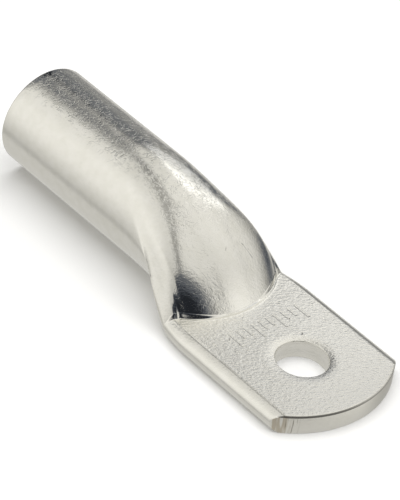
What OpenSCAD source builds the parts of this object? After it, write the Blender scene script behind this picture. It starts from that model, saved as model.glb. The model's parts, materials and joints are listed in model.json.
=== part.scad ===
// Tubular cable lug: a round tube whose front end is pressed flat into a palm with a stud hole.
// The origin is the centre of the stud hole on the palm's underside, +X points to the palm's tip,
// +Z points up out of the palm and the barrel's mouth faces -X. Lengths are in millimetres.

/* [Tube] */
// Outside diameter of the barrel
barrel_od = 21; // [18:0.5:24]
// Wall thickness of the tube
wall = 2; // [1.6:0.1:2.4]
// Length of the straight round part of the barrel
barrel_len = 27.8; // [22:0.2:45]
// Bevel on the outer edge of the barrel's mouth
mouth_bevel = 0.25; // [0.1:0.05:0.6]
// Bevel on the inner edge of the barrel's mouth
bore_bevel = 0.4; // [0.1:0.05:0.6]

/* [Neck] */
// Length over which the tube's crown comes down, from the barrel to the nose
neck_len = 33.4; // [28:0.2:44]
// Radius of the curved crease where the nose meets the palm
nose_radius = 18.7; // [17:0.1:28]
// Steepness of the nose at the middle of the crease, 0 for a soft end
nose_steepness = 3.05; // [1.5:0.05:3.2]
// Further steepness that the nose gains towards the sides of the crease
side_steepness = 0.45; // [0:0.05:0.6]
// Steepness of the tube's shoulders beside the nose, where they meet the palm's sides
shoulder_steepness = 4.2; // [2:0.1:5]
// Height of the small wall that the die's edge leaves along the sides of the crease
crease_wall = 0.6; // [0.1:0.05:1]
// How much the crown sinks ahead of a plain curve on its way down
crown_sag = 1.3; // [0.6:0.05:2]
// How much the flanks sink ahead of a plain curve on their way down
flank_sag = 2.7; // [0:0.1:4]
// Distance from the barrel to where the tube's sides begin to spread
spread_start = 8; // [0:0.2:10]
// Distance past the nose at which the sides have spread to the palm's width
spread_end = 2.2; // [1:0.2:4]
// Distance from the barrel to where the tube's flanks begin to flatten
flank_start = 23; // [14:0.2:25]
// Distance behind the nose at which the flanks lie flat
flank_end = 4; // [1:0.2:6]

/* [Palm] */
// Width of the palm
palm_w = 31; // [28:0.5:36]
// How far the palm's folded sides stand proud of its flat top
side_rise = 0.4; // [0.1:0.05:0.6]
// Distance from the palm's side to the die's edge, which doesn't touch the folded sides
die_margin = 1.3; // [1:0.1:2]
// Width inside the die's edge over which its pressure builds up
die_fade = 2.8; // [1.5:0.1:4]
// Distance from the crease at the nose to the centre of the stud hole
nose_to_hole = 16.8; // [12:0.2:24]
// Distance from the centre of the stud hole to the palm's tip
tip_reach = 15.4; // [11:0.1:20]
// Radius of the rounded end of the palm
end_radius = 21.6; // [18:0.1:28]

/* [Stud hole] */
// Thread diameter of the stud that the hole takes
stud_d = 10; // [6:1:12]
// Gap between the stud and the wall of its hole, on each side
stud_gap = 0.1; // [0.05:0.05:0.5]

/* [Hidden] */

// The palm is two walls of the tube pressed together
palm_t = 2 * wall;
axis_z = barrel_od / 2;
bore_r = axis_z - wall;
hole_r = stud_d / 2 + stud_gap;

nose_x = -nose_to_hole;
barrel_end_x = nose_x - neck_len;
mouth_x = barrel_end_x - barrel_len;
flank_start_x = barrel_end_x + flank_start;
flank_end_x = nose_x - flank_end;
spread_start_x = barrel_end_x + spread_start;
spread_end_x = nose_x + spread_end;
palm_root_x = spread_end_x + 1;

// How far the neck reaches into the barrel and into the palm, and how far its end rings stand
// inside their walls there
joint_overlap = 1;
joint_inset = 0.01;
// Height left in the slit where the tube's two walls meet inside
slit_h = 0.3;
// Fibres, as shares of the way from the bottom of the tube to its crown: below the first they
// move with the flanks, and above the second with the crown
flank_share = 0.32;
crown_share = 0.9;
// Half widths at which the die presses fully and not at all
full_press_y = palm_w / 2 - die_margin - die_fade;
no_press_y = palm_w / 2 - die_margin;
// The crease's wall rises from nothing at the middle of the nose to its height at this half width
wall_full_y = full_press_y - die_fade;
// The slit inside ends within the width that the die presses fully
slit_w = 2 * (full_press_y - 2 * wall);
// How far the crease's wall leans, and how far the tube's inside comes down ahead of its outside
wall_lean = 0.3;
inside_lead = wall / 2;

// Fibres on each side of the tube, and rings along the neck before and after the crease
side_steps = 28;
neck_steps = 22;
apron_steps = 3;
round_detail = 128;
tube_colour = [0.80, 0.79, 0.75];
inside_colour = [0.66, 0.65, 0.61];

function share(v, low, high) = min(max((v - low) / (high - low), 0), 1);
// Runs from 0 to 1, level at its start, with the given slope at its end and sagging in between
function fall(s, slope, sag) =
    (3 - slope) * s * s + (slope - 2) * s * s * s + sag * s * s * (1 - s) * (1 - s);
function ease(s) = fall(s, 0, 0);
function mix(a, b, s) = a + (b - a) * s;

// Point [y, z] of fibre t, 0 at the bottom and 1 at the crown, on the round tube of radius r
function round_point(t, r) = [r * sin(180 * t), axis_z - r * cos(180 * t)];
// The same fibre on a flat strip of width w and height h, lifted by z0. The strip's sides are
// round and stand proud of its top by rise
function flat_point(t, w, h, rise, z0) =
    let (
        side_r = (h + rise) / 2,
        level = w / 2 - side_r,
        dip = asin((h - side_r) / side_r),
        side_turn = 270 - dip,
        side_len = PI * side_r * side_turn / 180,
        top = level - side_r * cos(dip),
        along = t * (level + side_len + top),
        turn = (along - level) / side_len * side_turn
    )
    turn < 0 ? [along, z0] :
    turn > side_turn ? [level + side_len + top - along, z0 + h] :
    [level + side_r * sin(turn), z0 + side_r * (1 - cos(turn))];
// Half width at which fibre t lies on the palm
function palm_y(t) = flat_point(t, palm_w, palm_t, side_rise, 0)[0];

// How much fibre t belongs to the crown rather than to the flanks
function crown_part(t) = ease(share(t, flank_share, crown_share));
// How much of the die's pressure fibre t gets: all of it on the palm's flat top, none at its sides
function pressed(t) = t < 0.5 ? 0 : 1 - ease(share(palm_y(t), full_press_y, no_press_y));
// Where the crease crosses the fibre that ends up at half width y
function crease_x(y) =
    nose_x - nose_radius + sqrt(pow(nose_radius, 2) - pow(min(y, 0.97 * nose_radius), 2));
// Where fibre t starts and ends its way down
function fall_start_x(t) = mix(flank_start_x, barrel_end_x, crown_part(t));
function fall_end_x(t) =
    mix(flank_end_x, crease_x(palm_y(t)), max(crown_part(t), pressed(t)));
// How steeply fibre t arrives there, and how much it sags before
function fall_slope(t) = mix(
    shoulder_steepness * crown_part(t),
    nose_steepness + side_steepness * pow(palm_y(t) / full_press_y, 2),
    pressed(t)
);
function fall_sag(t) = mix(flank_sag, crown_sag, crown_part(t));
// Height of the crease's wall on fibre t
function wall_h(t) = crease_wall * ease(share(palm_y(t), 0, wall_full_y)) * pressed(t);

// Point [x, y, z] of fibre t at x, where from is its place on the round tube and to on the strip
function neck_point(t, x, from, to, lead) =
    let (
        s = share(x, fall_start_x(t), fall_end_x(t) - lead),
        down = fall(s, fall_slope(t), fall_sag(t)),
        out = ease(share(x, spread_start_x, spread_end_x))
    )
    [x, mix(from[0], to[0], out), mix(from[1], to[1], down)];

// Whole ring of the neck from its points on one side: bottom, one side up, crown, other side down
function ring(half) = concat(
    half,
    [for (k = [side_steps - 1:-1:1]) [half[k][0], -half[k][1], half[k][2]]]
);
ring_count = 2 * side_steps;

function outside_ring(step) = ring([
    for (k = [0:side_steps])
        let (
            t = k / side_steps,
            crease = fall_end_x(t),
            before = step <= neck_steps,
            x = before ?
                mix(barrel_end_x, crease, step / neck_steps) :
                mix(crease + wall_lean, palm_root_x, (step - neck_steps - 1) / apron_steps),
            lift = before ? wall_h(t) : 0
        )
        neck_point(
            t, x, round_point(t, axis_z), flat_point(t, palm_w, palm_t, side_rise, 0) + [0, lift], 0
        )
]);

function barrel_ring(r, x) = ring([
    for (k = [0:side_steps])
        let (p = round_point(k / side_steps, r))
        [x, p[0], p[1]]
]);

function palm_ring(x) = ring([
    for (k = [0:side_steps])
        let (
            w = palm_w - 2 * joint_inset,
            h = palm_t - 2 * joint_inset,
            p = flat_point(k / side_steps, w, h, side_rise, joint_inset)
        )
        [x, p[0], p[1]]
]);

function inside_ring(step) = ring([
    for (k = [0:side_steps])
        let (
            t = k / side_steps,
            x = mix(barrel_end_x, fall_end_x(t) - inside_lead, step / neck_steps),
            slit = flat_point(t, slit_w, slit_h, 0, wall - slit_h / 2)
        )
        neck_point(t, x, round_point(t, bore_r), slit, inside_lead)
]);

// Triangles between neighbouring rings, rings of points given in order along the neck
function skin(rings) = [
    for (i = [0:rings - 2], j = [0:ring_count - 1])
        let (
            a = i * ring_count + j,
            b = i * ring_count + (j + 1) % ring_count
        )
        each [[a, b + ring_count, b], [a, a + ring_count, b + ring_count]]
];
function back_cap() = [[for (j = [0:ring_count - 1]) j]];
// The front end is flat or a curved slit, so its cap joins each fibre of the top to the one below
function front_cap(rings) =
    let (
        first = (rings - 1) * ring_count,
        last = side_steps / 2 - 1,
        // Point k of the far side mirrors point k of the near side
        far = function (k) (ring_count - k) % ring_count,
        near_side = [
            for (k = [0:last])
                each [
                    [k, side_steps - k, k + 1],
                    if (k < last) [k + 1, side_steps - k, side_steps - k - 1]
                ]
        ]
    )
    concat(
        [for (face = near_side) [for (k = face) first + k]],
        [for (face = near_side) [first + far(face[0]), first + far(face[2]), first + far(face[1])]]
    );

module solid_loft(rings) {
    polyhedron(
        points = [for (r = rings) each r],
        faces = concat(back_cap(), skin(len(rings)), front_cap(len(rings))),
        convexity = 6
    );
}

module barrel_outside() {
    color(tube_colour)
        translate([mouth_x, 0, axis_z])
            rotate([0, 90, 0])
                rotate_extrude($fn = round_detail)
                    polygon([
                        [0, 0],
                        [axis_z - mouth_bevel, 0],
                        [axis_z, mouth_bevel],
                        [axis_z, barrel_len],
                        [0, barrel_len]
                    ]);
}

module bore() {
    color(inside_colour)
        translate([mouth_x, 0, axis_z])
            rotate([0, 90, 0])
                rotate_extrude($fn = round_detail)
                    polygon([
                        [0, -joint_overlap],
                        [bore_r + bore_bevel + joint_overlap, -joint_overlap],
                        [bore_r, bore_bevel],
                        [bore_r, barrel_len],
                        [0, barrel_len]
                    ]);
}

module neck_outside() {
    color(tube_colour)
        solid_loft(
            concat(
                [barrel_ring(axis_z - joint_inset, barrel_end_x - joint_overlap)],
                [for (step = [1:neck_steps + apron_steps]) outside_ring(step)],
                [palm_ring(palm_root_x + joint_overlap)]
            )
        );
}

module neck_inside() {
    color(inside_colour)
        solid_loft(
            concat(
                [barrel_ring(bore_r - joint_inset, barrel_end_x - joint_overlap)],
                [for (step = [1:neck_steps]) inside_ring(step)]
            )
        );
}

// Cross-section of the palm: a flat strip whose sides are the folded walls of the tube
module palm_section() {
    side_r = (palm_t + side_rise) / 2;
    translate([side_r - palm_w / 2, 0])
        square([palm_w - 2 * side_r, palm_t]);
    for (side = [-1, 1])
        translate([side * (palm_w / 2 - side_r), side_r])
            circle(side_r, $fn = round_detail);
}

// Outline of the palm from above: straight sides and a round end sheared off the strip
module palm_plan() {
    end_x = tip_reach - end_radius;
    translate([palm_root_x, -palm_w])
        square([max(end_x - palm_root_x, joint_overlap), 2 * palm_w]);
    intersection() {
        translate([end_x, 0])
            circle(end_radius, $fn = 2 * round_detail);
        translate([palm_root_x, -palm_w])
            square([tip_reach - palm_root_x + joint_overlap, 2 * palm_w]);
    }
}

module palm() {
    color(tube_colour)
        intersection() {
            translate([palm_root_x, 0, 0])
                rotate([90, 0, 90])
                    linear_extrude(tip_reach - palm_root_x + joint_overlap)
                        palm_section();
            translate([0, 0, -joint_overlap])
                linear_extrude(palm_t + 2 * joint_overlap + side_rise)
                    palm_plan();
        }
}

module stud_hole() {
    color(inside_colour)
        translate([0, 0, -joint_overlap])
            cylinder(r = hole_r, h = palm_t + 2 * joint_overlap, $fn = round_detail);
}

module cable_lug() {
    difference() {
        union() {
            barrel_outside();
            neck_outside();
            palm();
        }
        bore();
        neck_inside();
        stud_hole();
    }
}

cable_lug();
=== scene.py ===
"""Tubular cable lug: a tube with a tin-plated surface, pressed flat at its front into a palm.

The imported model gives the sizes. The skin of the lug is worked out here as one closed surface
with its die crease, folded sides, rolled edges and stamped marks, and it stands for the solid.
"""
import json
import math

import bmesh
import bpy
import numpy as np
from mathutils import Matrix, Vector


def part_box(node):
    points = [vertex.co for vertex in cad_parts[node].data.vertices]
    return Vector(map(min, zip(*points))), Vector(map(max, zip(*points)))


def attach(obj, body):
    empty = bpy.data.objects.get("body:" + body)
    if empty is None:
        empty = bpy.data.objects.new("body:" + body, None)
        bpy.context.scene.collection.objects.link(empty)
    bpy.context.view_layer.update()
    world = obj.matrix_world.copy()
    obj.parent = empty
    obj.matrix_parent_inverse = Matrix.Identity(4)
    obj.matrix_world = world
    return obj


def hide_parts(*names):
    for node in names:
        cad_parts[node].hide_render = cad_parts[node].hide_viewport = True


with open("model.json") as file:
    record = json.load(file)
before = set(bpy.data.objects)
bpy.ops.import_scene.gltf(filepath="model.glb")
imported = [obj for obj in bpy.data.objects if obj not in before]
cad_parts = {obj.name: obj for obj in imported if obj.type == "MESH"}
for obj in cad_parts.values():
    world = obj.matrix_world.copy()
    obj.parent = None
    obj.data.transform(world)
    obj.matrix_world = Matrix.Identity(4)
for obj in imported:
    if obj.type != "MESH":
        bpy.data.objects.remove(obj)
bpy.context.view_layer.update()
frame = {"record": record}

MM = 0.001
MOUNTS = {mount["name"]: mount for mount in frame["record"]["mounts"]}

# ---------------------------------------------------------------- sizes, in millimetres
low, high = (np.array(corner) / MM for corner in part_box("cable_lug"))
MOUTH_X, TIP_X = low[0], high[0]
BARREL_R = (high[2] - low[2]) / 2
PALM_HALF_W = high[1]
BORE_R = MOUNTS["barrel_bore"]["dims"]["r_mm"]
HOLE_R = MOUNTS["stud_hole"]["dims"]["r_mm"]
PALM_T = MOUNTS["stud_hole"]["dims"]["length_mm"]
WALL = BARREL_R - BORE_R

NOSE_X = -16.8            # the crease's foremost point
BARREL_END_X = NOSE_X - 33.4      # where the round barrel ends and the neck begins
NOSE_R = 18.7             # radius of the crease, seen from above
NOSE_STEEPNESS = 3.05     # how steeply the nose comes down to the middle of the crease
SIDE_STEEPNESS = 0.45     # what it gains towards the crease's sides
SHOULDER_STEEPNESS = 4.2  # how steeply the shoulders come down beside the nose
CROWN_SAG, FLANK_SAG = 1.3, 2.7   # how far crown and flanks sink ahead of a plain curve
SPREAD_X = (BARREL_END_X + 8, NOSE_X + 2.2)     # the sides spread between these
FLANK_X = (BARREL_END_X + 23, NOSE_X - 4)       # the flanks come down between these
FLANK_SHARE, CROWN_SHARE = 0.32, 0.9    # the fibres between these go from flank to crown
PRESSED_Y = (11.4, 14.2)  # the die presses fully inside the first half width, not past the second
STEP_H = 1.0              # height of the wall that the die's edge leaves at the sides of the nose
STEP_Y = (3.0, 11.5, 13.4, 15.2)  # it rises between the first two half widths, fades in the others
STEP_WIDTH = 0.55         # how far in front of the crease the wall reaches
BEAD_H, BEAD_WIDTH = 0.06, 0.7    # the bead of metal that the die's edge pushes up in front of it
END_R = 21.6              # radius of the sheared end
JOIN_X = -7.4             # the palm's plates with the stud hole begin here

LINE_Y = 13.6             # the die's edge runs along the palm here, inside its folded sides
RISE_Y = 12.8             # the palm's top starts to rise towards its sides
RISE_H = 0.02
# The folded side: which way its surface faces, in degrees above level, along its length
SIDE_TURN = [(0, 66), (0.5, 62), (1.7, 42), (2.5, 8), (2.8, 0), (4.3, -25), (5.3, -60), (6.1, -90)]

TICK_X, TICK_Y = -12.4, 8.0       # the stamped ticks begin here, and -TICK_Y is the row's near end
TICKS, TICK_PITCH, TICK_W = 10, 1.8, 0.55

EDGE_ROLL = 0.12          # rounding of the stud hole's rims
DRAW_H, DRAW_WIDTH = 0.22, 2.0    # how far and how widely the punch drew down the hole's rim
SHEAR_ROLL = 0.2          # rounding of the sheared end's edges
LIP_ROLL = 0.4            # rounding of the barrel's mouth
SLIT_H = 0.3              # what is left of the tube's inside where it closes
SLIT_Y, SLIT_BULGE = 12.5, 0.5    # half width of that slit, and how far its ends bulge out

# Rows and columns of the surface
SIDE_SAMPLES, BOTTOM_SAMPLES, TOP_SAMPLES = 240, 60, 300
TOP_FIBRES, SIDE_FIBRES, BOTTOM_RATIO = 78, 26, 3
BARREL_RINGS, NECK_RINGS, STEP_RINGS, APRON_RINGS = 24, 110, 8, 72
SIDE_ROWS, TOP_ROWS, BOTTOM_ROWS, WALL_ROWS = 56, 26, 10, 4
BORE_RINGS, HOLLOW_RINGS = 8, 36
NECK_CROWDING, PLATE_CROWDING = 1.35, 1.4     # rings crowd to the crease and to the hole's rims
QUARTER = (22.5, 45, 67.5, 90)    # angles of the rows on a rounded edge


# ---------------------------------------------------------------- curves
def fall(s, slope, sag):
    """Runs from 0 to 1, level at its start and with the given slope at its end.

    It is (3 - slope) s^2 + (slope - 2) s^3, and sag adds s^2 (1 - s)^2, level at both ends.
    """
    s = np.clip(s, 0.0, 1.0)
    return (3 - slope) * s**2 + (slope - 2) * s**3 + sag * s**2 * (1 - s) ** 2


def ease(value, start, end):
    """0 at start, 1 at end and 3 s^2 - 2 s^3 between them; start may be the larger one."""
    return fall((value - start) / (end - start), 0.0, 0.0)


def mix(a, b, s):
    """a where s is 0, b where s is 1."""
    return a + (b - a) * s


def rounding(radius, angles=QUARTER):
    """Along a quarter round: how far it has come in, r (1 - cos), and what is left, r (1 - sin)."""
    for angle in np.radians(angles):
        yield radius * (1 - math.cos(angle)), radius * (1 - math.sin(angle))


# ---------------------------------------------------------------- section and fibres
def palm_section():
    """Half of the palm's cross-section as [y, z], from the middle of its bottom to that of its top.

    The folded side follows the way it faces along its length, and is then stretched to reach from
    the top to the bottom and out to the palm's half width. Inside it the top falls gently to the
    pressed middle.
    """
    length, turn = np.array(SIDE_TURN).T
    s = np.linspace(0, length[-1], SIDE_SAMPLES)
    facing = np.radians(np.interp(s, length, turn))
    out = np.cumsum(np.sin(facing)) * s[1]
    down = np.cumsum(np.cos(facing)) * s[1]
    crest = PALM_T + RISE_H
    side_y = LINE_Y + (out - out[0]) * (PALM_HALF_W - LINE_Y) / (out - out[0]).max()
    side_z = crest * (1 - (down - down[0]) / (down[-1] - down[0]))
    side = np.stack([side_y, side_z], 1)[::-1]
    bottom_y = np.linspace(0, side_y[-1], BOTTOM_SAMPLES)
    bottom = np.stack([bottom_y, np.zeros(BOTTOM_SAMPLES)], 1)
    top_y = np.linspace(LINE_Y, 0, TOP_SAMPLES)
    top = np.stack([top_y, PALM_T + RISE_H * ease(top_y, RISE_Y, LINE_Y)], 1)
    return np.vstack([bottom[:-1], side[:-1], top])


SECTION = palm_section()
ALONG = np.concatenate([[0], np.cumsum(np.hypot(*np.diff(SECTION, axis=0).T))])


def fibre_places():
    """Places along the half section where its fibres run, as lengths from the bottom's middle.

    The top is divided evenly by y up to the die's line, the bottom takes every third of those,
    and the side between them is divided evenly by length.
    """
    top_y = np.linspace(0, LINE_Y, TOP_FIBRES + 1)
    widest = SECTION[:, 0].argmax()
    bottom = np.interp(top_y[::BOTTOM_RATIO], SECTION[:widest, 0], ALONG[:widest])
    top = np.interp(top_y, SECTION[-TOP_SAMPLES:, 0][::-1], ALONG[-TOP_SAMPLES:][::-1])
    side = np.linspace(bottom[-1], top[-1], SIDE_FIBRES + 1)[1:-1]
    return np.concatenate([bottom, side, top[::-1]])


PLACES = fibre_places()
SHARE = PLACES / ALONG[-1]        # 0 at the bottom's middle, 1 at the crown
FLAT = np.stack([np.interp(PLACES, ALONG, column) for column in SECTION.T], 1)
HALF = len(SHARE)
RING = 2 * HALF - 2
LOW_LINE = TOP_FIBRES // BOTTOM_RATIO
HIGH_LINE = LOW_LINE + SIDE_FIBRES
FOLD = np.arange(LOW_LINE, HIGH_LINE + 1)     # the fibres of a folded side


def full_ring(half):
    """Whole rings from their +Y halves: fibres up one side, over the crown and down the other."""
    other = half[:, -2:0:-1] * np.array([1, -1, 1])
    return np.concatenate([half, other], axis=1)


def in_ring(fibres, side):
    """Where the fibres of a side, 1 for +Y and -1 for -Y, stand in a whole ring."""
    return fibres if side > 0 else (RING - fibres) % RING


# ---------------------------------------------------------------- the tube's outside
def crease_x(y):
    """A circular arc, seen from above, that is the die's edge over the nose."""
    return NOSE_X - NOSE_R + np.sqrt(NOSE_R**2 - np.minimum(np.abs(y), 0.95 * NOSE_R) ** 2)


def end_x(y, inset=0.0):
    """The sheared end is an arc about a point on the middle line."""
    return TIP_X - END_R + np.sqrt((END_R - inset) ** 2 - y**2)


def top_z(x, y):
    """Height of the palm's top: the section's, less a parabola's fall towards the stud hole."""
    top = SECTION[-TOP_SAMPLES:][::-1]
    near = 1 - np.clip((np.hypot(x, y) - HOLE_R) / DRAW_WIDTH, 0, 1)
    return np.interp(np.abs(y), top[:, 0], top[:, 1]) - DRAW_H * near**2


def bottom_z(x, y):
    """The palm's underside is level."""
    return 0 * x


# What each fibre does on its way down: shares of crown and of die, and its fall's two ends
UPPER = SHARE > 0.5
CROWN = ease(SHARE, FLANK_SHARE, CROWN_SHARE)
PRESSED = (1 - ease(FLAT[:, 0], *PRESSED_Y)) * UPPER
FALL_START = mix(FLANK_X[0], BARREL_END_X, CROWN)
FALL_END = mix(FLANK_X[1], crease_x(FLAT[:, 0]), np.maximum(CROWN, PRESSED))
FALL_SLOPE = mix(
    SHOULDER_STEEPNESS * CROWN,
    NOSE_STEEPNESS + SIDE_STEEPNESS * (FLAT[:, 0] / PRESSED_Y[0]) ** 2,
    PRESSED,
)
FALL_SAG = mix(FLANK_SAG, CROWN_SAG, CROWN)
# Height of the wall at the crease: none over the middle, full at the sides of the nose
STEP = STEP_H * ease(FLAT[:, 0], *STEP_Y[:2]) * UPPER * (1 - ease(FLAT[:, 0], *STEP_Y[2:]))


def flattened(x, radius, flat, lift):
    """Each fibre runs from its place on the round tube to its place on the flat strip.

    y moves between the spread's two ends, and z between the fibre's own start and end.
    """
    round_y = radius * np.sin(math.pi * SHARE)
    round_z = BARREL_R - radius * np.cos(math.pi * SHARE)
    down = fall((x - FALL_START) / (FALL_END - FALL_START), FALL_SLOPE, FALL_SAG)
    out = ease(x, *SPREAD_X)
    return np.stack([x, mix(round_y, flat[:, 0], out), mix(round_z, flat[:, 1] + lift, down)], -1)


def outside_rings():
    """Rings of the outside from the mouth to where the plates begin, one row per ring.

    Barrel, neck, the crease's wall and the apron in front of it follow one another, and the bead
    on the apron is a squared sine.
    """
    barrel = np.linspace(MOUTH_X + LIP_ROLL, BARREL_END_X, BARREL_RINGS)[:, None] * np.ones(HALF)
    s = np.linspace(0, 1, NECK_RINGS + 1)[1:, None]
    neck = mix(BARREL_END_X, FALL_END, 1 - (1 - s) ** NECK_CROWDING)
    before = flattened(np.vstack([barrel, neck]), BARREL_R, FLAT, STEP)

    s = np.linspace(0, 1, STEP_RINGS + 1)[1:, None]
    step = FALL_END + STEP_WIDTH * s
    step_lift = STEP * (1 - ease(s, 0, 1))
    s = np.linspace(0, 1, APRON_RINGS + 1)[1:, None]
    apron = mix(FALL_END + STEP_WIDTH, JOIN_X, s)
    past = (apron - FALL_END - STEP_WIDTH) / BEAD_WIDTH
    bead = BEAD_H * np.sin(math.pi * np.clip(past, 0, 1)) ** 2 * PRESSED
    lift = np.concatenate([step_lift, bead])
    after = flattened(np.vstack([step, apron]), BARREL_R, FLAT, lift)
    return np.concatenate([before, after])


def zones(points):
    """Shares from 0 to 1 by which each point belongs to a zone with a finish of its own.

    "pressed" is the palm's top inside the die's edge, and "inside" the bore back from where the
    neck begins.
    """
    x, y, z = points.T
    side = np.abs(y)
    before = np.clip((x - crease_x(side) - 0.6) / 0.4, 0, 1)
    pressed = before * ease(side, LINE_Y + 0.1, LINE_Y - 0.2) * ease(z, 2.5, 3.3)
    lip_r = BORE_R + LIP_ROLL
    bored = ease(np.hypot(y, z - BARREL_R), lip_r + 0.4, lip_r + 0.1) * (x < BARREL_END_X)
    return {"pressed": pressed, "inside": bored}


# ---------------------------------------------------------------- one closed mesh
class Skin:
    """Collects points and faces of one surface, whose parts share their border points."""

    def __init__(self):
        self.points = []
        self.count = 0
        self.faces = []

    def add(self, points):
        """Adds an array of points and returns their numbers in an array of the same shape."""
        points = np.asarray(points, float)
        numbers = np.arange(self.count, self.count + points[..., 0].size)
        self.points.append(points.reshape(-1, 3))
        self.count += numbers.size
        return numbers.reshape(points.shape[:-1])

    def sheet(self, rows, closed=False):
        """Quads between neighbouring rows of point numbers."""
        rows = np.asarray(rows)
        if closed:
            rows = np.concatenate([rows, rows[:, :1]], axis=1)
        quads = np.stack([rows[:-1, :-1], rows[:-1, 1:], rows[1:, 1:], rows[1:, :-1]], -1)
        self.faces += quads.reshape(-1, 4).tolist()

    def zip(self, fine, coarse, places):
        """Faces between a fine row and a coarse one, whose points sit at the given places of it."""
        for i in range(len(coarse) - 1):
            span = fine[places[i]:places[i + 1] + 1]
            self.faces.append([coarse[i], coarse[i + 1], *span[::-1]])

    def build(self, name):
        """Makes the object, with its zones as attributes and all its faces turned outwards."""
        mesh = bpy.data.meshes.new(name)
        points = np.concatenate(self.points) * MM
        mesh.from_pydata(points.tolist(), [], [[int(n) for n in face] for face in self.faces])
        for zone, share in zones(points / MM).items():
            layer = mesh.attributes.new(zone, "FLOAT", "POINT")
            layer.data.foreach_set("value", share)
        mesh.shade_smooth()
        turned = bmesh.new()
        turned.from_mesh(mesh)
        bmesh.ops.recalc_face_normals(turned, faces=turned.faces)
        turned.to_mesh(mesh)
        turned.free()
        piece = bpy.data.objects.new(name, mesh)
        bpy.context.collection.objects.link(piece)
        return piece


def palm_sides(skin, join):
    """Both folded sides run straight on from the join to the sheared end."""
    rows = np.linspace(0, 1, SIDE_ROWS + 1)[1:, None]
    y, z = FLAT[FOLD].T
    x = mix(JOIN_X, end_x(y, SHEAR_ROLL), rows)
    sides = {}
    for side in (1, -1):
        points = np.stack([x, np.broadcast_to(side * y, x.shape), np.broadcast_to(z, x.shape)], -1)
        first = join[in_ring(FOLD, side)]
        sides[side] = np.vstack([first[None], skin.add(points)])
        skin.sheet(sides[side])
    return sides


def end_outline(inset, x_inset):
    """The sheared end's outline, drawn in towards the section's inside and back along the lug."""
    along = np.gradient(FLAT, axis=0)
    along /= np.hypot(*along.T)[:, None]
    y = FLAT[:, 0] - inset * along[:, 1]
    z = FLAT[:, 1] + inset * along[:, 0]
    y[0], y[-1] = 0, 0
    half = np.stack([end_x(y, x_inset), y, z], -1)
    return full_ring(half[None])[0]


def close_ring(skin, ring):
    """Closes a flat ring: faces between its top and its bottom, then across its folded sides."""
    middle = (LOW_LINE + HIGH_LINE) // 2
    for side in (1, -1):
        row = ring[in_ring(np.arange(HALF), side)]
        bottom = np.arange(LOW_LINE + 1)
        skin.zip(row[HIGH_LINE:][::-1], row[bottom], bottom * BOTTOM_RATIO)
        lower = row[LOW_LINE:middle + 1]
        upper = row[middle:HIGH_LINE + 1][::-1]
        skin.sheet(np.vstack([lower[:-1], upper[:-1]]))
        skin.faces.append([lower[-2], lower[-1], upper[-2]])


def sheared_end(skin, sides):
    """The end's face with its rolled edge. Returns the point numbers of the edge's outline."""
    edge = np.empty(RING, int)
    new = np.ones(RING, bool)
    for side in (1, -1):
        edge[in_ring(FOLD, side)] = sides[side][-1]
        new[in_ring(FOLD, side)] = False
    edge[new] = skin.add(end_outline(0, SHEAR_ROLL)[new])
    rolled = [edge]
    for gone, left in rounding(SHEAR_ROLL, (30, 60, 90)):
        rolled.append(skin.add(end_outline(gone, left)))
    skin.sheet(np.vstack(rolled), closed=True)
    close_ring(skin, rolled[-1])
    return edge


def plate(skin, border, height, rows):
    """A plate round the stud hole: straight lines from the hole's rim out to the border.

    The lines' points crowd towards the rim. Returns the rim's point numbers and their directions.
    """
    points = np.concatenate(skin.points)[border]
    turn = np.arctan2(points[:, 1], points[:, 0])
    rim = HOLE_R + EDGE_ROLL
    inner = np.stack([rim * np.cos(turn), rim * np.sin(turn)], -1)
    s = np.linspace(0, 1, rows + 1)[:-1, None, None] ** PLATE_CROWDING
    flat = inner + (points[None, :, :2] - inner) * s
    z = height(flat[..., 0], flat[..., 1])
    inside = skin.add(np.concatenate([flat, z[..., None]], -1))
    skin.sheet(np.vstack([inside, border[None]]), closed=True)
    return inside[0], turn


def pierced_palm(skin, join, sides, edge):
    """The palm's top and bottom plates, with the stud hole's rolled rims and wall between them."""

    def border(line, row):
        """Round a plate: across the join, out along -Y, back across the end and along +Y."""
        return np.concatenate([
            join[line][:-1],
            sides[-1][:-1, row],
            edge[line][::-1][:-1],
            sides[1][1:, row][::-1],
        ])

    def wall_ring(radius, z, turn):
        return skin.add(np.stack([radius * np.cos(turn), radius * np.sin(turn), z + 0 * turn], -1))

    top_line = np.arange(HIGH_LINE, RING - HIGH_LINE + 1)
    low_line = np.arange(LOW_LINE, -LOW_LINE - 1, -1) % RING
    top_rim, top_turn = plate(skin, border(top_line, -1), top_z, TOP_ROWS)
    low_rim, low_turn = plate(skin, border(low_line, 0), bottom_z, BOTTOM_ROWS)

    rim_z = top_z(HOLE_R + EDGE_ROLL, 0.0)
    wall = [top_rim]
    for gone, left in rounding(EDGE_ROLL):
        wall.append(wall_ring(HOLE_R + left, rim_z - gone, top_turn))
    for z in np.linspace(rim_z - EDGE_ROLL, EDGE_ROLL, WALL_ROWS + 1)[1:]:
        wall.append(wall_ring(HOLE_R, z, top_turn))
    skin.sheet(np.vstack(wall), closed=True)
    low_wall = [low_rim]
    for gone, left in rounding(EDGE_ROLL, QUARTER[:-1]):
        low_wall.append(wall_ring(HOLE_R + left, gone, low_turn))
    skin.sheet(np.vstack(low_wall), closed=True)

    # The bottom's coarse ring has every third point across the join and the end, and all the
    # points along the sides
    across = len(top_line) - 1
    half_turn = across + SIDE_ROWS
    half_places = np.concatenate([
        np.arange(0, across, BOTTOM_RATIO),
        np.arange(across, half_turn),
    ])
    places = np.concatenate([half_places, half_turn + half_places, [2 * half_turn]])
    fine = np.append(wall[-1], wall[-1][0])
    coarse = np.append(low_wall[-1], low_wall[-1][0])
    skin.zip(fine, coarse, places)


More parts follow.
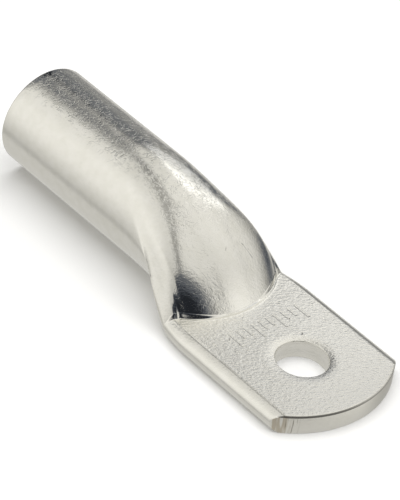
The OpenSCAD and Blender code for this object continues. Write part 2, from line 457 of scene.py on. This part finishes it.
def slit_section():
    """Half of the closed hollow as [y, z]: a thin slit between the walls, with bulging ends."""
    rise = np.interp(PLACES, [PLACES[LOW_LINE], PLACES[HIGH_LINE]], [-1, 1])
    at_end = FLAT[:, 0] > LINE_Y - 0.6
    y = np.where(at_end, SLIT_Y + SLIT_BULGE * (1 - rise**2), FLAT[:, 0] * SLIT_Y / LINE_Y)
    return np.stack([y, WALL + SLIT_H / 2 * rise], -1)


def inside_of_tube(skin, mouth):
    """The rolled lip, the bore and the neck's hollow, down to the slit where the walls meet."""

    def tube_ring(radius, x):
        y = radius * np.sin(math.pi * SHARE)
        z = BARREL_R - radius * np.cos(math.pi * SHARE)
        half = np.stack([x + 0 * SHARE, y, z], -1)
        return skin.add(full_ring(half[None])[0])

    rings = [mouth]
    for gone, left in rounding(LIP_ROLL):
        rings.append(tube_ring(BARREL_R - gone, MOUTH_X + left))
    for gone, left in rounding(LIP_ROLL, (0, *QUARTER)):
        rings.append(tube_ring(BORE_R + left, MOUTH_X + gone))
    for x in np.linspace(MOUTH_X + LIP_ROLL, BARREL_END_X, BORE_RINGS)[1:]:
        rings.append(tube_ring(BORE_R, x))
    hollow_x = mix(BARREL_END_X, FALL_END, np.linspace(0, 1, HOLLOW_RINGS + 1)[1:, None])
    hollow = skin.add(full_ring(flattened(hollow_x, BORE_R, slit_section(), 0)))
    skin.sheet(np.vstack(rings + list(hollow)), closed=True)
    close_ring(skin, hollow[-1])


def lug_skin():
    """The whole lug as one closed surface."""
    skin = Skin()
    outside = skin.add(full_ring(outside_rings()))
    skin.sheet(outside, closed=True)
    sides = palm_sides(skin, outside[-1])
    edge = sheared_end(skin, sides)
    pierced_palm(skin, outside[-1], sides, edge)
    inside_of_tube(skin, outside[0])
    return skin.build("lug_skin")


# ---------------------------------------------------------------- shader maths
class Wire:
    """A shader socket. Python's operators on it add Math nodes to its tree."""

    def __init__(self, tree, socket):
        self.tree, self.socket = tree, socket

    def math(self, operation, *others):
        return self.tree.node("ShaderNodeMath", {"operation": operation}, [self, *others])

    def __add__(self, other):
        return self.math("ADD", other)

    def __sub__(self, other):
        return self.math("SUBTRACT", other)

    def __rsub__(self, other):
        return self.tree.node("ShaderNodeMath", {"operation": "SUBTRACT"}, [other, self])

    def __mul__(self, other):
        return self.math("MULTIPLY", other)

    def __abs__(self):
        return self.math("ABSOLUTE")

    __radd__, __rmul__ = __add__, __mul__

    def over(self, start, end):
        """0 at start, 1 at end, smooth between; start may be the larger one."""
        settings = {"interpolation_type": "SMOOTHSTEP"}
        return self.tree.node("ShaderNodeMapRange", settings, [self, start, end, 0.0, 1.0])


class Tree:
    """A node tree to which every node is added by one method."""

    def __init__(self, owner):
        owner.use_nodes = True
        self.tree = owner.node_tree
        self.tree.nodes.clear()

    def node(self, kind, settings=None, values=(), output=0):
        """Adds a node: its settings first, then the values or wires of its sockets in order."""
        node = self.tree.nodes.new(kind)
        for name, value in (settings or {}).items():
            setattr(node, name, value)
        pairs = values.items() if isinstance(values, dict) else enumerate(values)
        for name, value in pairs:
            self.feed(node.inputs[name], value)
        return Wire(self, node.outputs[output]) if node.outputs else node

    def feed(self, socket, value):
        if isinstance(value, Wire):
            self.tree.links.new(value.socket, socket)
        else:
            socket.default_value = value

    def vector(self, operation, *values, output="Vector"):
        return self.node("ShaderNodeVectorMath", {"operation": operation}, values, output)

    def scaled(self, vector, scale):
        values = {"Vector": vector, "Scale": scale}
        return self.node("ShaderNodeVectorMath", {"operation": "SCALE"}, values)

    def blend(self, factor, a, b):
        """A colour between a and b."""
        node = self.tree.nodes.new("ShaderNodeMix")
        node.data_type = "RGBA"
        colours = [socket for socket in node.inputs if socket.type == "RGBA"]
        for socket, value in zip([node.inputs[0], *colours], [factor, a, b]):
            self.feed(socket, value)
        return Wire(self, next(socket for socket in node.outputs if socket.type == "RGBA"))


# ---------------------------------------------------------------- finish
class Place:
    """The point being shaded, in millimetres, and patterns that depend on it alone."""

    def __init__(self, t):
        self.t = t
        self.mm = t.scaled(t.node("ShaderNodeTexCoord", output="Object"), 1 / MM)
        parts = t.node("ShaderNodeSeparateXYZ", {}, [self.mm]).socket.node.outputs
        self.x, self.y, self.z = (Wire(t, part) for part in parts)

    def noise(self, per_mm, detail=0.0, seed=0.0, stretch=(1, 1, 1), swirl=0.0, turn=0.0):
        """Even noise from 0 to 1 with about per_mm bumps in each millimetre, turned about Z."""
        place = self.mm
        if turn:
            settings = {"rotation_type": "Z_AXIS"}
            values = {"Vector": place, "Angle": math.radians(turn)}
            place = self.t.node("ShaderNodeVectorRotate", settings, values)
        values = {
            "Vector": self.t.vector("MULTIPLY", place, stretch),
            "W": seed,
            "Scale": per_mm,
            "Detail": detail,
            "Roughness": 0.55,
            "Distortion": swirl,
        }
        return self.t.node("ShaderNodeTexNoise", {"noise_dimensions": "4D"}, values)

    def curls(self, per_mm, width, kept, seed):
        """Short curved scratches: the lines on which a noise passes its middle, kept where another
        noise is high."""
        line = 1 - abs(self.noise(per_mm, 0.6, seed, swirl=0.8) - 0.5).over(0.0, width)
        return line * self.noise(per_mm * 0.6, 0.0, seed + 40).over(kept, kept + 0.06)

    def pits(self, per_mm, size, kept, seed):
        """Small round pits, one in some of the cells of a random pattern."""
        shifted = self.t.vector("ADD", self.mm, (seed, -seed, seed))
        cells = self.t.node("ShaderNodeTexVoronoi", {}, {"Vector": shifted, "Scale": per_mm})
        outputs = cells.socket.node.outputs
        distance, colour = (Wire(self.t, outputs[name]) for name in ("Distance", "Color"))
        spot = 1 - distance.over(0.0, size * per_mm)
        chance = self.t.node("ShaderNodeSeparateColor", {}, [colour])
        return spot * chance.over(kept, kept + 0.02)

    def scratch(self, start, end, width):
        """A straight scratch: 1 within its width of the line between two points."""
        way = np.subtract(end, start)
        off = self.t.vector("SUBTRACT", self.mm, start)
        share = self.t.vector("DOT_PRODUCT", off, tuple(way / (way @ way)), output="Value")
        nearest = self.t.scaled(tuple(way), share.math("MAXIMUM", 0.0).math("MINIMUM", 1.0))
        return self.t.vector("DISTANCE", off, nearest, output="Value").over(width, width * 0.3)

    def spot(self, centre, radius):
        apart = self.t.vector("DISTANCE", self.mm, centre, output="Value")
        return apart.over(radius, radius * 0.3)

    def ticks(self):
        """Gauge ticks in a row across the palm, every third one long."""
        half_w = 0.5 * TICK_W / TICK_PITCH
        along = (self.y + TICK_Y) * (1 / TICK_PITCH)
        bar = abs(along.math("FRACT") - 0.5).over(half_w + 0.04, half_w - 0.04)
        longer = (along.math("FLOOR") * (1 / 3)).math("FRACT").over(0.2, 0.1)
        end = longer * 1.6 + (TICK_X + 2.5)
        bar = bar * self.x.over(TICK_X - 0.08, TICK_X + 0.08) * (end - self.x).over(-0.08, 0.08)
        row = along.over(-0.02, 0.0) * along.over(TICKS + 0.02, TICKS)
        return bar * row * self.z.over(3.2, 3.5)

    def from_end_centre(self):
        """How far the point lies from the centre of the sheared end's arc, seen from above."""
        off = self.t.vector("SUBTRACT", self.mm, (TIP_X - END_R, 0, 0))
        return self.t.vector("LENGTH", self.t.vector("MULTIPLY", off, (1, 1, 0)), output="Value")


# Scratches by their two ends and width, and small dents by centre and radius
SCRATCHES = [
    ((-42.7, 4.0, 19.4), (-33.8, 5.6, 16.6), 0.13),
    ((-24.6, 5.2, 12.0), (-22.2, 6.2, 9.7), 0.12),
    ((-27.3, 3.6, 14.1), (-24.2, 0.8, 12.4), 0.13),
]
DENTS = [((-5.5, 4.5, 4.0), 0.5), ((-75.5, 2.5, 20.8), 0.5)]

DULL_TIN, PALE_TIN = (0.86, 0.85, 0.80, 1), (0.90, 0.89, 0.85, 1)
# Paler tone of the pressed top: partly the etched finish, partly painted light that brightens the
# palm
ETCHED_AND_LIT_TIN = (0.98, 0.965, 0.91, 1)
PIT_GREY = (0.45, 0.43, 0.38, 1)
# Painted shade: the darker grey of the cut end's far (+Y) part
FAR_CUT_SHADE_GREY = (0.50, 0.49, 0.46, 1)
CORNER_BROWN = (0.52, 0.45, 0.34, 1)
TORN_BROWN = (0.22, 0.19, 0.15, 1)
# Painted shade: the dark line along the cut end's top edge, under its rounding
EDGE_SHADE_GREY = (0.10, 0.095, 0.09, 1)


def tin_plate():
    """Tin plating: swirled and scratched where the tube was free, etched where the die pressed.
    Some of its colour is painted light. The pressed top is paler, partly from its etched finish and
    partly as painted light. The cut end's far part and a line along its top edge are darkened as
    painted shade.

    Each part of the relief has its height in millimetres.
    """
    tin = bpy.data.materials.new("tin_plate")
    t = Tree(tin)
    here = Place(t)
    pressed, inside = (
        t.node("ShaderNodeAttribute", {"attribute_name": zone}, output="Fac")
        for zone in ("pressed", "inside")
    )
    free = 1 - pressed
    far_out = here.from_end_centre()
    front = here.x.over(0, 1)
    sheared = far_out.over(END_R - 0.12, END_R - 0.03) * front
    # Painted shade: a dark band along the cut end's top edge, under its rolled edge, weaker towards
    # +Y
    edge_shade = far_out.over(END_R - 0.30, END_R - 0.12) * front
    edge_shade = edge_shade * here.z.over(PALM_T - 0.45, PALM_T - 0.3) * (1 - here.y.over(-6, 9) * 0.6)

    etched = here.noise(2.5, 1.5, 3.0, (0.6, 1.2, 1), turn=-45)
    swirls = here.noise(1.1, 2.0, 9.0, swirl=1.4)
    dashes = here.noise(2.2, 2.0, 6.0, (0.45, 1.1, 1), turn=-45) * here.x.over(-48, -32)
    grain = here.noise(4.0, 1.0, 4.0)
    worn = here.y.over(-7.5, -4) * here.x.over(-20, -40) * 0.75 + 0.25
    curls = (here.curls(1.0, 0.045, 0.46, 1.0) * 1.4 + here.curls(1.6, 0.06, 0.48, 2.0)) * worn
    marks = here.pits(0.55, 0.15, 0.70, 5.0)
    waves = here.noise(0.22, 1.0, 7.0)
    cut = here.noise(1.6, 2.0, 8.0, (1, 1, 0.12))
    height = (
        etched * pressed * 0.10
        + swirls * free * 0.014
        + dashes * free * 0.024
        + grain * 0.006
        + waves * 0.03
        + cut * sheared * 0.05
        - curls * free * 0.014
        - marks * 0.02
        - here.ticks() * 0.10
    )
    for start, end, width in SCRATCHES:
        height = height - here.scratch(start, end, width) * 0.03
    for centre, radius in DENTS:
        height = height - here.spot(centre, radius) * 0.05
    bump = t.node("ShaderNodeBump", {}, {"Height": height, "Strength": 1.0, "Distance": MM})

    cloud = here.noise(0.5, 3.0, 12.0)
    corner = sheared * here.y.over(-12.2, -13.4) * cut.over(0.40, 0.56)
    torn = sheared * here.y.over(-11.0, -12.5) * here.y.over(-13.8, -13.2) * cut.over(0.52, 0.60)
    tone = t.blend(cloud.over(0.3, 0.7), DULL_TIN, PALE_TIN)
    for share, colour in (
        # the pressed top is paler: partly its etched finish, partly painted light
        (pressed, ETCHED_AND_LIT_TIN),
        (marks * 0.5, PIT_GREY),
        # the cut end's far (+Y) part is darkened: painted shade
        (sheared * here.y.over(0, 8) * 0.5, FAR_CUT_SHADE_GREY),
        (corner * 0.7, CORNER_BROWN),
        (torn * 0.7, TORN_BROWN),
        # painted shade line along the cut end's top edge
        (edge_shade * 0.85, EDGE_SHADE_GREY),
    ):
        tone = t.blend(share, tone, colour)
    roughness = 0.10 + pressed * 0.14 + cloud * 0.05 + inside * 0.2 + sheared * 0.25
    shader = t.node("ShaderNodeBsdfPrincipled", {}, {
        "Base Color": tone,
        "Metallic": 1.0,
        "Roughness": roughness,
        "Normal": bump,
    })
    t.node("ShaderNodeOutputMaterial", {}, {"Surface": shader})
    return tin


# ---------------------------------------------------------------- floor, light and camera
# Soft lights and dark screens round the table: direction as azimuth and elevation, radius and
# softness of the edge, all in degrees, and how much each adds to the room's brightness
ROOM, TABLE = 0.54, 0.61
SCREENS = [
    (-135, 26, 38, 25, 0.37),
    (106, 40, 61, 45, 0.32),
    (25, -3, 29, 11, 0.29),
    (-16, 24, 32, 5, -0.49),
    (85, 2, 21, 20, -0.70),
    (133, 15, 27, 6, -0.52),
    (170, 32, 42, 7, -0.15),
    (171, 30, 24, 5, -0.54),
    (-12, 4, 29, 7, -0.08),
]
# The table ends between two heights on a sphere of radius 1, with a dark line below its edge
TABLE_EDGE = (-0.48, -0.36)
EDGE_LINE, LINE_FROM, LINE_TO = -0.12, (-0.64, -0.56), (-0.42, -0.50)
# A dark seam runs over the zenith: how dark it is and which way its plane faces, then how far it
# lies off the zenith, its width on that sphere and the heights over which it starts
SEAM, SEAM_SIDE = -0.40, (0.26, 0.966, 0)
SEAM_OFF, SEAM_WIDTH, SEAM_FROM = 0.035, (0.15, 0.03), (0.76, 0.90)
DARKEST = 0.02
DARK_TINT, LIGHT_TINT = (0.72, 0.86, 1.15, 1), (1.0, 0.985, 0.935, 1)

CAMERA_AT = (279.20, -313.64, 343.35)     # millimetres
AZIMUTH, ELEVATION, ROLL = 44.60, 37.21, 8.61     # degrees
LENS = 212.9


def paper_floor():
    """A plain pale floor, which the metal doesn't mirror: the studio's table does that."""
    bpy.ops.mesh.primitive_plane_add(size=6, location=(0, 0, 0))
    floor = bpy.context.active_object
    floor.name = "floor"
    paper = bpy.data.materials.new("paper")
    t = Tree(paper)
    values = {"Base Color": (0.92, 0.92, 0.92, 1), "Roughness": 0.9}
    shader = t.node("ShaderNodeBsdfPrincipled", {}, values)
    t.node("ShaderNodeOutputMaterial", {}, {"Surface": shader})
    floor.data.materials.append(paper)
    floor.visible_glossy = False


def studio():
    """The room's brightness by direction: the table below, the room above, and round screens.

    A screen's share is a smooth step of the angle between a direction and the screen's centre.
    """
    world = bpy.data.worlds.new("studio")
    bpy.context.scene.world = world
    t = Tree(world)
    way = t.node("ShaderNodeTexCoord", output="Generated")
    rise = t.vector("DOT_PRODUCT", way, (0, 0, 1), output="Value")
    across = t.vector("DOT_PRODUCT", way, SEAM_SIDE, output="Value")
    seam = abs(across - SEAM_OFF).over(*SEAM_WIDTH) * rise.over(*SEAM_FROM)
    light = seam * SEAM + ROOM
    for azimuth, elevation, radius, softness, amount in SCREENS:
        a, e = math.radians(azimuth), math.radians(elevation)
        centre = (math.cos(a) * math.cos(e), math.sin(a) * math.cos(e), math.sin(e))
        angle = t.vector("DOT_PRODUCT", way, centre, output="Value").math("ARCCOSINE")
        share = angle.over(math.radians(radius + softness), math.radians(radius - softness))
        light = share * amount + light
    above = rise.over(*TABLE_EDGE)
    line = rise.over(*LINE_FROM) * rise.over(*LINE_TO)
    light = light * above + (1 - above) * TABLE + line * EDGE_LINE
    light = light.math("MAXIMUM", DARKEST)
    tint = t.blend(light.over(-0.1, 0.36), DARK_TINT, LIGHT_TINT)
    room = t.node("ShaderNodeBackground", {}, {"Color": tint, "Strength": light})
    plain = t.node("ShaderNodeBackground", {}, {"Strength": 0.95})
    seen = t.node("ShaderNodeLightPath", output="Is Camera Ray")
    surface = t.node("ShaderNodeMixShader", {}, [seen, room, plain])
    t.node("ShaderNodeOutputWorld", {}, {"Surface": surface})


def lamp(name, place, target, size, power, seen_in_metal, spin=0):
    """A square soft light at a place, turned to its target, both in metres, and spun by degrees."""
    data = bpy.data.lights.new(name, "AREA")
    data.shape = "SQUARE"
    data.size = size
    data.energy = power
    light = bpy.data.objects.new(name, data)
    bpy.context.collection.objects.link(light)
    light.location = place
    aim = (Vector(target) - Vector(place)).to_track_quat("-Z", "Y").to_matrix()
    light.rotation_euler = (aim @ Matrix.Rotation(math.radians(spin), 3, "Z")).to_euler()
    light.visible_camera = False
    light.visible_glossy = seen_in_metal


def camera():
    """A long lens that looks down along an azimuth and an elevation, rolled about its axis."""
    data = bpy.data.cameras.new("camera")
    data.sensor_fit = "VERTICAL"
    data.sensor_height = 36
    data.lens = LENS
    data.clip_start = 0.01
    view = bpy.data.objects.new("camera", data)
    bpy.context.collection.objects.link(view)
    azimuth, elevation, roll = (math.radians(angle) for angle in (AZIMUTH, ELEVATION, ROLL))
    level = math.cos(elevation)
    ahead = Vector((-math.sin(azimuth) * level, math.cos(azimuth) * level, -math.sin(elevation)))
    right = ahead.cross(Vector((0, 0, 1))).normalized()
    up = right.cross(ahead)
    rolled_right = right * math.cos(roll) + up * math.sin(roll)
    rolled_up = up * math.cos(roll) - right * math.sin(roll)
    turn = Matrix((rolled_right, rolled_up, -ahead)).transposed().to_4x4()
    view.matrix_world = Matrix.Translation(Vector(CAMERA_AT) * MM) @ turn
    bpy.context.scene.camera = view


# ---------------------------------------------------------------- the scene
lug = lug_skin()
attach(lug, "root")
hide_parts("cable_lug")
lug.data.materials.append(tin_plate())

paper_floor()
studio()
lamp("ceiling", (0, 0, 2.5), (0, 0, 0), 3.0, 56, False)
lamp("near_card", (-0.0775, 0.0998, 0.0818), (0, 0, 0.004), 0.065, 0.0066, True, spin=48)
camera()
bpy.context.scene.view_settings.view_transform = "Standard"
